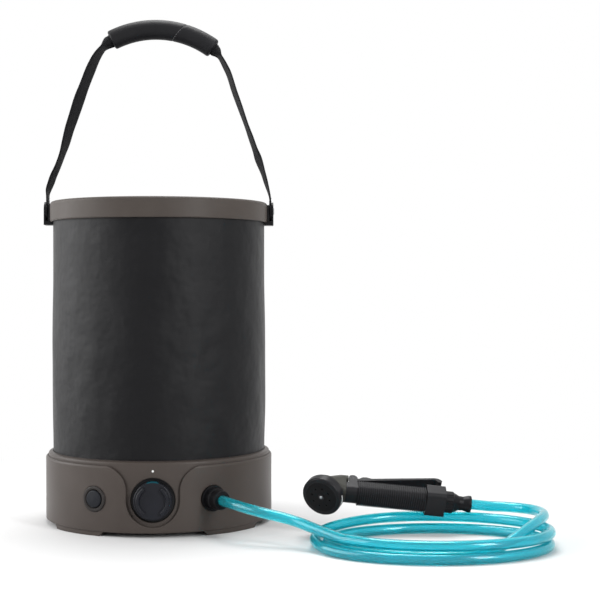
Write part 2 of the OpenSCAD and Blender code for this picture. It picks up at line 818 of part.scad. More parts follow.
// Least distance between two stretches of the coil that aren't next to each other
far_apart = 8;
coil_gap = min([for (i = [0:len(coil_path) - 1]) for (k = [i + far_apart:1:len(coil_path) - 1])
    norm(coil_path[i] - coil_path[k])]) - hose_d;
echo(coil_least_gap = coil_gap);

module hose_lead() { color(teal) tube(lead_path, hose_r, tube_sides); }

module hose_coil() { color(teal) tube(coil_path, hose_r, coil_sides); }

module hose_tail() { color(teal) tube(tail_path, hose_r, tube_sides); }

// Sprayer modules

module sprayer() {
    translate(spray_at) rotate([0, spray_tilt, 0]) rotate([spray_roll, 0, 0]) children();
}

// Puts children on the spray axis: Z points out of the dial's face
module at_dial(z = 0) {
    translate([dial_back.x, 0, dial_back.y]) rotate([0, 270 - spray_angle, 0])
        translate([0, 0, z]) children();
}

module rounded_rect(w, h, r) {
    square([w - 2 * r, h], center = true);
    square([w, h - 2 * r], center = true);
    for (x = [-1, 1]) for (y = [-1, 1]) translate([x * (w / 2 - r), y * (h / 2 - r)]) circle(r = r);
}

// A bar along X with a rounded section, width along Y
module bar(from, to, w, h, r) {
    translate([from, 0, 0]) rotate([90, 0, 90]) linear_extrude(to - from) rounded_rect(w, h, r);
}

module hose_connector() {
    color(black) sprayer() difference() {
        rotate([0, 90, 0]) rotate_extrude() polygon([[4.5, conn_back], [13.5, conn_back],
            [13.5, conn_back + 10], [12.4, conn_back + 11], [9, conn_back + 18], [8.6, 2],
            [10.4, 9], [10.4, 12], [hose_r + 0.2, 12], [hose_r + 0.2, -gap], [4.5, -gap]]);
        for (i = [0:9]) rotate([i * 36, 0, 0]) translate([conn_back - cut, 0, 14]) rotate([0, 90, 0])
            cylinder(r = 1.2, h = 10);
    }
}

module sprayer_handle() {
    ear_in = lever_w / 2 + gap;
    color(black) sprayer() difference() {
        union() {
            bar(block_end, conn_back - 0.05, block_w, block_h, 6);
            bar(bar_end, block_end + 1, spray_w, spray_h, bar_r);
            for (s = [-1, 1]) translate([lever_at.x, s * (ear_in + spray_w / 2) / 2, 0])
                rotate([90, 0, 0]) linear_extrude(spray_w / 2 - ear_in, center = true) {
                    translate([0, lever_at.y]) circle(r = lever_barrel + 1);
                    translate([-lever_barrel - 1, 0]) square([2 * lever_barrel + 2, lever_at.y]);
                }
        }
        translate([lever_at.x, 0, lever_at.y]) rotate([90, 0, 0])
            cylinder(r = lever_pin_r, h = 60, center = true);
        translate([lever_at.x, 0, lever_at.y]) rotate([90, 0, 0])
            cylinder(r = lever_barrel + gap, h = 2 * ear_in, center = true);
        translate([stem_x, 0, stem_low - stem_travel - 1]) cylinder(r = stem_r + run, h = 40);
    }
}

// Soft ribbed sleeve round the handle, open on top where the lever works
module handle_ribs() {
    from = lever_at.x + lever_barrel + 1 + gap;
    to = block_end - gap;
    pitch = (to - from) / ribs;
    sleeve = 1.2;
    rib = 1.2;
    color(charcoal) sprayer() difference() {
        union() {
            bar(from, to, spray_w + 2 * sleeve, spray_h + 2 * sleeve, bar_r + sleeve);
            for (i = [0:ribs - 1]) bar(from + (i + 0.2) * pitch, from + (i + 0.7) * pitch,
                spray_w + 2 * (sleeve + rib), spray_h + 2 * (sleeve + rib), bar_r + sleeve + rib);
        }
        bar(from - 1, to + 1, spray_w + 0.1, spray_h + 0.1, bar_r + 0.05);
        translate([from - 1, -spray_w, spray_h / 2 - 4]) cube([to - from + 2, 2 * spray_w, spray_h]);
    }
}

// Neck that turns from the handle to the spray axis, with a hood in front of the lever's hinge
module sprayer_neck() {
    hood_top = lever_at.y + lever_barrel + 4;
    hood_low = spray_h / 2 + 0.05;
    module hood(to) {
        translate([0, 0, (hood_low + hood_top) / 2])
            bar(bar_end - 6, to, spray_w - 1, hood_top - hood_low, 6, $fn = 32);
    }
    color(olive_grey) sprayer() {
        hull() {
            bar(bar_end - 3, bar_end - 0.05, spray_w - 1, spray_h - 1, 7, $fn = 32);
            hood(bar_end - 0.05);
            at_dial(-dial_gap - 4) cylinder(r = 18, h = 4, $fn = 48);
        }
        hood(lever_at.x - lever_barrel - 1 - gap);
        at_dial(-dial_gap - 2.5) cylinder(r = dial_r - 4, h = 2.2);
    }
}

module dial_spindle() {
    color(steel) sprayer() at_dial(-dial_gap) cylinder(r = spindle_r, h = dial_t + dial_gap + 0.6);
}

module spray_dial() {
    color(black) sprayer() at_dial() rotate_extrude() polygon(concat(
        [[spindle_r + run, 0], [dial_r - 3.5, 0], [dial_r - 1, 2.5], [dial_r - 1, 4], [dial_r, 5]],
        arc([dial_r - 2.5, dial_t - 2.5], 2.5, 0, 90, 5),
        [[face_r + 0.1, dial_t], [face_r + 0.1, dial_t - face_t], [spindle_r + run, dial_t - face_t]]));
}

// Face plate with a ring of jets
module spray_face() {
    jets = 8;
    jet_ring = face_r - 8;
    color(charcoal) sprayer() at_dial(dial_t - face_t) difference() {
        cylinder(r = face_r, h = face_t);
        translate([0, 0, -cut]) cylinder(r = spindle_r + run, h = 10);
        for (i = [0:jets - 1]) rotate([0, 0, i * 360 / jets]) translate([jet_ring, 0, face_t - 1])
            cylinder(r = 1.2, h = 5);
    }
}

// Lever: a barrel on its pin, a raised thumb step and a long blade that curls in at its end
module spray_lever() {
    tip_x = lever_at.x + lever_len;
    tip_z = lever_at.y + lever_rise;
    color(black) sprayer() difference() {
        rotate([90, 0, 0]) linear_extrude(lever_w, center = true) {
            translate(lever_at) circle(r = lever_barrel);
            polygon([[lever_at.x, lever_at.y - 1], [lever_at.x + 14, lever_at.y + 0.4],
                [tip_x - 7, tip_z - lever_t], [tip_x - 3, tip_z - lever_t - 5], [tip_x + 1, tip_z - lever_t - 5],
                [tip_x + 2, tip_z - 5],
                [tip_x, tip_z - 2.2], [tip_x - 3, tip_z - 0.4], [tip_x - 8, tip_z],
                [lever_at.x + 24, lever_at.y + lever_t + 3.2],
                [lever_at.x + 18, lever_at.y + lever_t + 5], [lever_at.x + 13, lever_at.y + lever_t + 4.6],
                [lever_at.x + 8, lever_at.y + lever_t + 0.4], [lever_at.x, lever_at.y + lever_barrel]]);
        }
        translate([lever_at.x, 0, lever_at.y]) rotate([90, 0, 0])
            cylinder(r = lever_pin_r + run, h = 60, center = true);
    }
}

module lever_pin() {
    color(steel) sprayer() translate([lever_at.x, 0, lever_at.y]) rotate([90, 0, 0])
        cylinder(r = lever_pin_r, h = spray_w, center = true);
}

// Stem that the lever pushes into the handle to open the valve
module valve_stem() {
    blade_low = lever_at.y + 0.4 + (stem_x - lever_at.x - 14) * (lever_rise - lever_t - 0.4) / (lever_len - 21);
    color(brass) sprayer() translate([stem_x, 0, stem_low])
        cylinder(r = stem_r, h = blade_low - 1.2 - stem_low);
}

base_skirt();
base_body();
tank_deck();
wall_clamp();
deck_screws();
bottom_cover();
bottom_screws();
button_bezel();
power_button();
button_switch();
battery_socket();
battery_contacts();
battery_pack();
battery_seal();
battery_mark();
alignment_dot();
pump_housing();
pump_backplate();
pump_motor();
motor_shaft();
pump_impeller();
shaft_seal();
inlet_strainer();
outlet_pipe();
outlet_fitting();
outlet_collar();
control_board();
bucket_wall();
rim_ring();
rim_hoop();
clip_left();
clip_right();
pivot_pins();
strap_left();
strap_right();
handle_grip();
hose_lead();
hose_coil();
hose_tail();
hose_connector();
sprayer_handle();
handle_ribs();
sprayer_neck();
dial_spindle();
spray_dial();
spray_face();
spray_lever();
lever_pin();
valve_stem();
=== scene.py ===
import math

import bpy
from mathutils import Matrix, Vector


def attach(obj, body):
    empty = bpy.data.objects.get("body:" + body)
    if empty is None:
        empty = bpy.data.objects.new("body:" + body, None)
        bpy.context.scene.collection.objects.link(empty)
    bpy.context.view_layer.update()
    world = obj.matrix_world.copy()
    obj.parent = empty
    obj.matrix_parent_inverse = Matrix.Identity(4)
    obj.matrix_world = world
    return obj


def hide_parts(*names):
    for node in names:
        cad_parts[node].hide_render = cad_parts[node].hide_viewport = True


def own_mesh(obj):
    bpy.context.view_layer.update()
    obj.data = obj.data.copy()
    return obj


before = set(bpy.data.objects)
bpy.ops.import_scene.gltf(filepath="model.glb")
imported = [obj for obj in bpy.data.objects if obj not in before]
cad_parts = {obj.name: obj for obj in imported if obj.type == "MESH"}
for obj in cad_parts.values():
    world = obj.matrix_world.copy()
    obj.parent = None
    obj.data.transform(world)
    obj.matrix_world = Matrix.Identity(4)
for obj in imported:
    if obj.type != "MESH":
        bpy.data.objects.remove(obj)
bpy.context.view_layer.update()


# Camera
# A long lens 1.8 m in front of the bucket and level with its middle, turned a little to the right
# so that the bucket and the coiled hose share the picture.
look_right = math.radians(2.6)
look_down = math.radians(0.544)
lens = bpy.data.cameras.new("camera")
lens.sensor_width = 36
lens.lens = 80.76
camera = bpy.data.objects.new("camera", lens)
camera.location = (0.1059, -1.8067, 0.3085)
aim = Vector((math.sin(look_right), math.cos(look_right), -math.tan(look_down)))
camera.rotation_euler = aim.to_track_quat("-Z", "Y").to_euler()
bpy.context.scene.collection.objects.link(camera)
bpy.context.scene.camera = camera
bpy.context.scene.view_settings.view_transform = "Standard"


# Hose
# Clear teal PVC tube, extruded, 12.7 mm thick outside and 8.5 mm inside. It leaves the outlet collar,
# lies in a coil beside the bucket, and its tail lies on the coil and enters the sprayer's connector.
hose_radius = 0.00635
hose_bore = 0.00425
hose_sides = 36
outlet_angle = math.radians(29.5)
outlet_way = Vector((math.sin(outlet_angle), -math.cos(outlet_angle), 0))
outlet_height = 0.046
hose_root, hose_straight, hose_exit = 0.1595, 0.1722, 0.1735
lead_marks = ((96, -170, 45.5), (112, -190, 43.5), (134, -204, 39.5), (158, -212, 35),
              (178, -224, 30.5), (196, -242, 26), (223.8, -269.7, 19.85))
coil_x, coil_y = 0.338, -0.224
coil_wide, coil_deep = 0.143, 0.106
coil_lift = 0.0135
coil_inset, widest_turn = 0.015, 0.45
drop_start, drop_turns = 0.27, 0.35
coil_start, coil_turns, coil_steps = -0.40, 2.15, 52
tail_marks = ((357, -310.2, 6.5), (368, -308.6, 7), (386.5, -302.2, 10), (407, -292.8, 16),
              (426, -279, 23.3), (443.5, -261, 30), (457.5, -241, 33.6), (467.5, -220, 34.6),
              (472.2, -204, 34.5), (473.4, -188, 34.3), (470.8, -171.3, 34), (463.1, -156.3, 33.8),
              (451.1, -144.3, 33.6), (436.1, -136.6, 33.6), (419.4, -134, 34))
connector_tilt = math.radians(6)
connector_way = Vector((math.cos(connector_tilt), 0, -math.sin(connector_tilt)))
connector_mouth = 0.0203
hose_end = Vector((0.3835, -0.134, 0.0378))


def from_outlet(distance):
    return outlet_way * distance + Vector((0, 0, outlet_height))


def ease(share):
    t = min(1, max(0, share))
    return t * t * (3 - 2 * t)


def coil_point(turn):
    angle = 2 * math.pi * turn
    inset = coil_inset * abs(turn - widest_turn)
    drop = ease((turn - drop_start) / drop_turns)
    return Vector((coil_x + (coil_wide - inset) * math.cos(angle),
                   coil_y + (coil_deep - inset) * math.sin(angle),
                   hose_radius + coil_lift * (1 - drop)))


def smooth_line(points, parts):
    line = []
    for i in range(len(points) - 1):
        before = points[i - 1] if i else points[0] * 2 - points[1]
        after = points[i + 2] if i + 2 < len(points) else points[-1] * 2 - points[-2]
        a, b = points[i], points[i + 1]
        for k in range(parts):
            t = k / parts
            line.append(0.5 * (2 * a + (b - before) * t
                               + (2 * before - 5 * a + 4 * b - after) * t * t
                               + (3 * a - before - 3 * b + after) * t * t * t))
    line.append(points[-1])
    return line


hose_route = [from_outlet(hose_root), from_outlet(hose_straight)]
hose_route += [Vector(mark) / 1000 for mark in lead_marks]
hose_route += [coil_point(coil_start + coil_turns * i / coil_steps) for i in range(coil_steps + 1)]
hose_route += [Vector(mark) / 1000 for mark in tail_marks]
hose_route += [hose_end + connector_mouth * connector_way, hose_end]
hose_line = smooth_line(hose_route, 5)


def new_piece(name, points, faces):
    mesh = bpy.data.meshes.new(name)
    mesh.from_pydata([tuple(p) for p in points], [], faces)
    mesh.validate()
    for face in mesh.polygons:
        face.use_smooth = True
    piece = bpy.data.objects.new(name, mesh)
    bpy.context.scene.collection.objects.link(piece)
    return piece


points, faces = [], []
for i, place in enumerate(hose_line):
    ahead = (hose_line[min(i + 1, len(hose_line) - 1)] - hose_line[max(i - 1, 0)]).normalized()
    across = ahead.cross(Vector((0, 0, 1))).normalized()
    over = across.cross(ahead)
    for radius in (hose_radius, hose_bore):
        for k in range(hose_sides):
            a = 2 * math.pi * k / hose_sides
            points.append(place + radius * (math.cos(a) * across + math.sin(a) * over))
hose_ring = 2 * hose_sides
for start in range(0, len(points) - hose_ring, hose_ring):
    for k in range(hose_sides):
        a, b = start + k, start + (k + 1) % hose_sides
        faces.append((a, a + hose_ring, b + hose_ring, b))
        a, b = a + hose_sides, b + hose_sides
        faces.append((a, b, b + hose_ring, a + hose_ring))
last = len(points) - hose_ring
for k in range(hose_sides):
    n = (k + 1) % hose_sides
    faces.append((k, n, n + hose_sides, k + hose_sides))
    faces.append((last + n, last + k, last + k + hose_sides, last + n + hose_sides))
hose = new_piece("hose", points, faces)


def paint(red, green, blue):
    shares = [value / 255 for value in (red, green, blue)]
    return [s / 12.92 if s <= 0.04045 else ((s + 0.055) / 1.055) ** 2.4 for s in shares] + [1]


def new_finish(name):
    finish = bpy.data.materials.new(name)
    finish.use_nodes = True
    tree = finish.node_tree
    return finish, tree.nodes, tree.links, tree.nodes["Principled BSDF"]


def grain(nodes, links, size, detail=3):
    where = nodes.new("ShaderNodeTexCoord")
    noise = nodes.new("ShaderNodeTexNoise")
    noise.inputs["Scale"].default_value = 1 / size
    noise.inputs["Detail"].default_value = detail
    links.new(where.outputs["Object"], noise.inputs["Vector"])
    return noise.outputs["Fac"]


def tint(nodes, links, shader, amount, *stops):
    steps = nodes.new("ShaderNodeValToRGB")
    for mark, (place, colour) in zip(steps.color_ramp.elements, stops):
        mark.position = place
        mark.color = colour
    links.new(amount, steps.inputs["Fac"])
    links.new(steps.outputs["Color"], shader.inputs["Base Color"])


def roughen(nodes, links, shader, amount, low, high):
    span = nodes.new("ShaderNodeMapRange")
    span.inputs["To Min"].default_value = low
    span.inputs["To Max"].default_value = high
    links.new(amount, span.inputs["Value"])
    links.new(span.outputs["Result"], shader.inputs["Roughness"])


hose_pvc, nodes, links, shader = new_finish("teal_pvc")
tint(nodes, links, shader, grain(nodes, links, 0.03),
     (0.3, paint(58, 219, 231)), (0.7, paint(68, 225, 237)))
roughen(nodes, links, shader, grain(nodes, links, 0.02), 0.15, 0.18)
shader.inputs["Transmission Weight"].default_value = 0.86
shader.inputs["IOR"].default_value = 1.4
shader.inputs["Coat Weight"].default_value = 0.12
shader.inputs["Coat Roughness"].default_value = 0.1
hose.data.materials.append(hose_pvc)
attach(hose, "base")
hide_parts("hose_lead", "hose_coil", "hose_tail")


# Base shell
# Outer skirt with its feet, inner body, bucket floor, cloth clamp and bottom cover, injection moulded in
# taupe plastic with a fine spark texture. The skirt is pressed over the body, and screws hold the cover.
def dress(finish, *names):
    for name in names:
        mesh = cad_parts[name].data
        mesh.materials.clear()
        mesh.materials.append(finish)


def raise_by(nodes, links, shader, height, depth, strength, under=None):
    bump = nodes.new("ShaderNodeBump")
    bump.inputs["Strength"].default_value = strength
    bump.inputs["Distance"].default_value = depth
    links.new(height, bump.inputs["Height"])
    if under is not None:
        links.new(under, bump.inputs["Normal"])
    links.new(bump.outputs["Normal"], shader.inputs["Normal"])
    return bump.outputs["Normal"]


def moulded(name, dark, light, rough, grain_size, grain_depth, edge, gloss=0.15):
    finish, nodes, links, shader = new_finish(name)
    shader.inputs["Specular IOR Level"].default_value = gloss
    patches = grain(nodes, links, 0.05, 5)
    tint(nodes, links, shader, patches, (0.35, paint(*dark)), (0.65, paint(*light)))
    roughen(nodes, links, shader, patches, rough - 0.06, rough + 0.06)
    soft_edge = nodes.new("ShaderNodeBevel")
    soft_edge.samples = 4
    soft_edge.inputs["Radius"].default_value = edge
    texture = grain(nodes, links, grain_size)
    raise_by(nodes, links, shader, texture, grain_depth, 0.35, soft_edge.outputs["Normal"])
    return finish


taupe_plastic = moulded("taupe_plastic", dark=(68, 61, 57), light=(73, 66, 62), rough=0.38,
                        grain_size=0.0011, grain_depth=0.00012, edge=0.002, gloss=0.2)
dress(taupe_plastic, "base_skirt", "base_body", "tank_deck", "wall_clamp", "bottom_cover")


# Base fixings and works
# Screws, pump, motor, switch, socket and control board inside the base, where only a look from below
# or down into the bucket shows some of them. Steel, brass, grey nylon, black nylon and green laminate.
def metal(name, colour, rough):
    finish, nodes, links, shader = new_finish(name)
    streaks = grain(nodes, links, 0.002, 6)
    bright = paint(*colour)
    dull = [0.8 * c for c in bright[:3]] + [1]
    tint(nodes, links, shader, streaks, (0.3, dull), (0.7, bright))
    roughen(nodes, links, shader, streaks, rough - 0.08, rough + 0.1)
    shader.inputs["Metallic"].default_value = 1
    return finish


steel = metal("stainless_steel", (190, 190, 192), 0.32)
brass = metal("brass", (206, 172, 98), 0.3)
grey_nylon = moulded("grey_nylon", dark=(104, 105, 108), light=(114, 115, 118), rough=0.5,
                     grain_size=0.0012, grain_depth=0.0001, edge=0.0005)
black_nylon = moulded("black_nylon", dark=(24, 24, 26), light=(31, 31, 33), rough=0.5,
                      grain_size=0.001, grain_depth=0.0001, edge=0.0006)
green_laminate = moulded("green_laminate", dark=(22, 74, 46), light=(30, 92, 58), rough=0.35,
                         grain_size=0.004, grain_depth=0.0001, edge=0.0003)
seal_rubber = moulded("seal_rubber", dark=(16, 16, 17), light=(22, 22, 23), rough=0.6,
                      grain_size=0.001, grain_depth=0.0001, edge=0.0003)
dress(steel, "deck_screws", "bottom_screws", "motor_shaft", "pump_motor")
dress(brass, "battery_contacts")
dress(grey_nylon, "pump_housing", "pump_backplate", "pump_impeller", "outlet_pipe")
dress(black_nylon, "inlet_strainer", "battery_socket", "button_switch")
dress(green_laminate, "control_board")
dress(seal_rubber, "battery_seal", "shaft_seal")


# Power button, battery and outlet on the base's front
# A soft rubber button in a dark taupe ring, the battery's dark grey cap with its teal mark, the white
# dot that shows where to turn it, and the black stepped collar that grips the hose on the outlet.
button_rubber = moulded("button_rubber", dark=(26, 28, 33), light=(32, 34, 39), rough=0.5,
                        grain_size=0.0009, grain_depth=0.0002, edge=0.001)
bezel_plastic = moulded("bezel_plastic", dark=(46, 43, 42), light=(51, 48, 47), rough=0.4,
                        grain_size=0.001, grain_depth=0.0001, edge=0.001)
battery_plastic = moulded("battery_plastic", dark=(26, 27, 32), light=(31, 32, 38), rough=0.34,
                          grain_size=0.0015, grain_depth=0.00008, edge=0.0007)
white_plastic = moulded("white_plastic", dark=(225, 225, 222), light=(236, 236, 233), rough=0.4,
                        grain_size=0.001, grain_depth=0.00005, edge=0.0003)
black_plastic = moulded("black_plastic", dark=(13, 13, 16), light=(19, 19, 22), rough=0.36,
                        grain_size=0.0012, grain_depth=0.0001, edge=0.0006)
teal_plastic, nodes, links, shader = new_finish("teal_plastic")
where = nodes.new("ShaderNodeTexCoord")
apart = nodes.new("ShaderNodeSeparateXYZ")
links.new(where.outputs["Object"], apart.inputs["Vector"])
aside = nodes.new("ShaderNodeMath")
aside.operation = "ABSOLUTE"
links.new(apart.outputs["X"], aside.inputs[0])
inked = nodes.new("ShaderNodeMapRange")
inked.inputs["From Max"].default_value = 0.02
links.new(aside.outputs["Value"], inked.inputs["Value"])
tint(nodes, links, shader, inked.outputs["Result"],
     (0.3, paint(14, 74, 86)), (0.4, paint(25, 27, 32)))
roughen(nodes, links, shader, grain(nodes, links, 0.002), 0.3, 0.4)
shader.inputs["Specular IOR Level"].default_value = 0.15
dress(button_rubber, "power_button")
dress(bezel_plastic, "button_bezel")
dress(battery_plastic, "battery_pack")
dress(teal_plastic, "battery_mark")
dress(white_plastic, "alignment_dot")
dress(black_plastic, "outlet_fitting", "outlet_collar")


# Bucket wall
# Black polyester cloth with a soft coating, cut as one strip and joined by a welded lap at the back.
# A clamp ring holds its foot in the base, and the rim and its hoop hold its top.
wall_radius = 0.140
wall_girth = 2 * math.pi * wall_radius
wall_thick = 0.0012
wall_clear = 0.0001
wall_foot = 0.0873
wall_head = 0.414
wall_columns, wall_rows = 300, 72
lap_half = 0.085
lap_slope = 0.006
lap_rise = 0.0004


def wall_wave(angle, share):
    slack = ease(share / 0.22) * ease((0.74 - share) / 0.34)
    wave = 0.0013 + 0.00045 * math.sin(3 * angle + 0.8 + 1.6 * share)
    wave += 0.0004 * math.sin(5 * angle - 0.9 - 2.3 * share)
    wave += 0.00025 * math.sin(11 * angle + 4.2 * share)
    wave += 0.0003 * math.sin(15 * angle + 5 * share) * math.sin(9 * share + 3 * math.sin(2 * angle) + 1)
    wave += 0.00012 * math.sin(23 * angle - 8 * share) * math.sin(14 * share + 4 * math.sin(3 * angle))
    from_back = angle - math.pi / 2
    off_lap = abs(math.atan2(math.sin(from_back), math.cos(from_back)))
    return slack * wave + lap_rise * min(1, max(0, (lap_half - off_lap) / lap_slope))


points, faces = [], []
for inward in (0, wall_thick):
    for row in range(wall_rows + 1):
        share = row / wall_rows
        height = wall_foot + share * (wall_head - wall_foot)
        for column in range(wall_columns):
            angle = 2 * math.pi * column / wall_columns
            radius = wall_radius - inward + wall_wave(angle, share) - wall_clear
            points.append((radius * math.cos(angle), radius * math.sin(angle), height))
inside = wall_columns * (wall_rows + 1)
for row in range(wall_rows):
    for column in range(wall_columns):
        a = row * wall_columns + column
        b = row * wall_columns + (column + 1) % wall_columns
        faces.append((a, b, b + wall_columns, a + wall_columns))
        a, b = inside + a, inside + b
        faces.append((b, a, a + wall_columns, b + wall_columns))
top = wall_rows * wall_columns
for column in range(wall_columns):
    a, b = column, (column + 1) % wall_columns
    faces.append((b, a, inside + a, inside + b))
    faces.append((top + a, top + b, inside + top + b, inside + top + a))
bucket_cloth = new_piece("bucket_cloth", points, faces)


def lay_cloth_map(piece, place, girth=0):
    sheet_map = piece.data.uv_layers.new(name="cloth")
    for face in piece.data.polygons:
        spots = [place(piece.data.loops[i].vertex_index) for i in face.loop_indices]
        far = max(u for u, v in spots)
        for i, (u, v) in zip(face.loop_indices, spots):
            sheet_map.data[i].uv = (u + girth if far - u > girth / 2 else u, v)


def wall_spot(i):
    return wall_girth * (i % wall_columns) / wall_columns, bucket_cloth.data.vertices[i].co.z


def woven(nodes, links, across, along):
    where = nodes.new("ShaderNodeUVMap")
    where.uv_map = "cloth"
    crossing = nodes.new("ShaderNodeMath")
    crossing.operation = "MAXIMUM"
    for side, direction, pitch in ((0, "X", across), (1, "Y", along)):
        thread = nodes.new("ShaderNodeTexWave")
        thread.bands_direction = direction
        thread.inputs["Scale"].default_value = math.pi / 10 / pitch
        thread.inputs["Distortion"].default_value = 0.4
        thread.inputs["Detail Scale"].default_value = 3
        links.new(where.outputs["UV"], thread.inputs["Vector"])
        links.new(thread.outputs["Fac"], crossing.inputs[side])
    return crossing.outputs["Value"]


lay_cloth_map(bucket_cloth, wall_spot, wall_girth)
coated_cloth, nodes, links, shader = new_finish("coated_cloth")
tint(nodes, links, shader, grain(nodes, links, 0.06, 5), (0.3, paint(5, 5, 8)), (0.7, paint(9, 9, 12)))
roughen(nodes, links, shader, grain(nodes, links, 0.03), 0.36, 0.46)
shader.inputs["Specular IOR Level"].default_value = 0.19
weave = raise_by(nodes, links, shader, woven(nodes, links, 0.0011, 0.0011), 0.0002, 0.5)
raise_by(nodes, links, shader, grain(nodes, links, 0.03, 2), 0.004, 0.5, weave)
bucket_cloth.data.materials.append(coated_cloth)
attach(bucket_cloth, "base")
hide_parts("bucket_wall")
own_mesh(bucket_cloth)


# Rim
# A smooth moulded taupe ring with a rounded top, open below, pressed over the head of the cloth.
# The black nylon hoop inside it grips the cloth.
rim_plastic = moulded("rim_plastic", dark=(70, 64, 60), light=(75, 69, 65), rough=0.44,
                      grain_size=0.0009, grain_depth=0.0001, edge=0.0014, gloss=0.16)
dress(rim_plastic, "rim_ring")
dress(black_nylon, "rim_hoop")


# Strap clips
# Black moulded clips that hook under the rim on both sides, with a steel pin through their cheeks
# on which the handle swings.
dress(black_plastic, "clip_left", "clip_right")
dress(steel, "pivot_pins")


# Carry straps
# Two lengths of 23 mm black polyester webbing. Each has a stiff sewn eye on the clip's pin, turns
# almost edge-on as it climbs, and is bunched where it goes into the grip.
left_marks = ((148, 418, 0), (148.2, 430, 0), (147.2, 438, 8), (143.6, 448, 12), (140.4, 457, 12),
              (134.6, 470, 10), (128.9, 485.6, 11), (124.2, 501, 18), (119.4, 519, 22),
              (113.6, 536.5, 25), (106.4, 558.5, 28), (99.6, 577, 24), (91.4, 598, 24),
              (83.2, 615.5, 18), (74, 628, 10), (66, 635, 8), (62, 637.5, 8))
right_marks = ((148, 418, 0), (147.4, 430, 0), (142.2, 449, 9), (138.4, 462, 12), (132.2, 480, 20),
               (127.4, 493.5, 14), (122, 509, 13), (115.7, 526.6, 10), (107.8, 549, 13),
               (99.9, 571, 14), (93.3, 592, 14), (87.8, 604, 13), (81.8, 615, 10),
               (77.5, 621.5, 8), (73, 626.2, 8), (69.5, 629, 8))
strap_half = 0.0115
strap_thick = 0.0024
pin_out, pin_height = 0.148, 0.410
eye_radius, eye_hole, eye_half = 0.0137, 0.0036, 0.00135
eye_steps = 40
bunch_reach, bunch_length = 0.019, 0.014
bunch_fold, bunch_swell, bunch_narrow = 0.001, 4.4, 0.25
band_outline = []
for side in (1, -1):
    for k in range(13):
        v = side * (1 - k / 6)
        band_outline.append((v * strap_half, side * strap_thick / 2 * (1 - 0.5 * abs(v) ** 8)))


def carry_strap(name, side, marks):
    points, faces, spots = [], [], []
    line = smooth_line([Vector(mark) for mark in marks], 6)
    steps = [0] + [(b.xy - a.xy).length / 1000 for a, b in zip(line, line[1:])]
    for i, (out, height, twist) in enumerate(line):
        a, b = line[max(i - 1, 0)], line[min(i + 1, len(line) - 1)]
        ahead = Vector((b.x - a.x, 0, b.y - a.y)).normalized()
        flat = Vector((-ahead.z, 0, ahead.x))
        turn = math.radians(twist)
        wide = math.cos(turn) * Vector((0, 1, 0)) + math.sin(turn) * flat
        thick = math.cos(turn) * flat - math.sin(turn) * Vector((0, 1, 0))
        bunch = ease((bunch_reach - sum(steps[i + 1:])) / bunch_length)
        middle = Vector((out, 0, height)) / 1000
        for v, t in band_outline:
            fold = bunch_fold * bunch * math.sin(7 * math.pi * v / strap_half + i / 3)
            lift = t * (1 + bunch_swell * bunch) + fold
            place = middle + v * (1 - bunch_narrow * bunch) * wide + lift * thick
            points.append((side * place.x, place.y, place.z))
            spots.append((v, sum(steps[:i + 1])))
    ring = len(band_outline)
    for i in range(len(line) - 1):
        for k in range(ring):
            a, b = i * ring + k, i * ring + (k + 1) % ring
            faces.append((a, b, b + ring, a + ring)[::side])
    faces.append(tuple(range(ring))[::-side])
    faces.append(tuple(range((len(line) - 1) * ring, len(line) * ring))[::side])
    start = len(points)
    for k in range(eye_steps):
        a = 2 * math.pi * k / eye_steps
        for radius, x in ((eye_hole, -1), (eye_radius, -1), (eye_radius, 1), (eye_hole, 1)):
            y, z = radius * math.cos(a), radius * math.sin(a)
            points.append((side * (pin_out + x * eye_half), y, pin_height + z))
            spots.append((y, z))
    for k in range(eye_steps):
        a, b = start + 4 * k, start + 4 * ((k + 1) % eye_steps)
        for n in range(4):
            m = (n + 1) % 4
            faces.append((a + n, a + m, b + m, b + n)[::side])
    strap = new_piece(name, points, faces)
    lay_cloth_map(strap, lambda i: spots[i])
    return strap


webbing, nodes, links, shader = new_finish("black_webbing")
ribs = woven(nodes, links, 0.0019, 0.0023)
tint(nodes, links, shader, ribs, (0.2, paint(6, 6, 8)), (0.9, paint(20, 20, 23)))
roughen(nodes, links, shader, grain(nodes, links, 0.004), 0.55, 0.75)
shader.inputs["Specular IOR Level"].default_value = 0.15
raise_by(nodes, links, shader, ribs, 0.0006, 0.7)
for name, side, marks, solid in (("webbing_left", -1, left_marks, "strap_left"),
                                 ("webbing_right", 1, right_marks, "strap_right")):
    strap = carry_strap(name, side, marks)
    strap.data.materials.append(webbing)
    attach(strap, "handle")
    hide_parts(solid)


# Grip
# Foam tube in a sewn black neoprene cover, closed by a slanting seam and pinched in at both ends
# where the webbing goes through it.
grip_bend = 0.127
grip_middle = Vector((-0.0036, 0, 0.525))
grip_radius = 0.0131
grip_sweep = math.asin(0.068 / grip_bend)
grip_lean = math.radians(4.2)
grip_rows, grip_sides = 210, 48
pinch_length = 0.045
pinch_share = 0.22
seam_depth, seam_width = 0.0006, 0.0011


def grip_point(share, a, radius):
    angle = grip_sweep * share + grip_lean
    out = Vector((math.sin(angle), 0, math.cos(angle)))
    round_way = math.cos(a) * out + math.sin(a) * Vector((0, 1, 0))
    return grip_middle + grip_bend * out + radius * round_way, round_way


def seam_share(a):
    return 0.3 + 0.1 * math.cos(a)


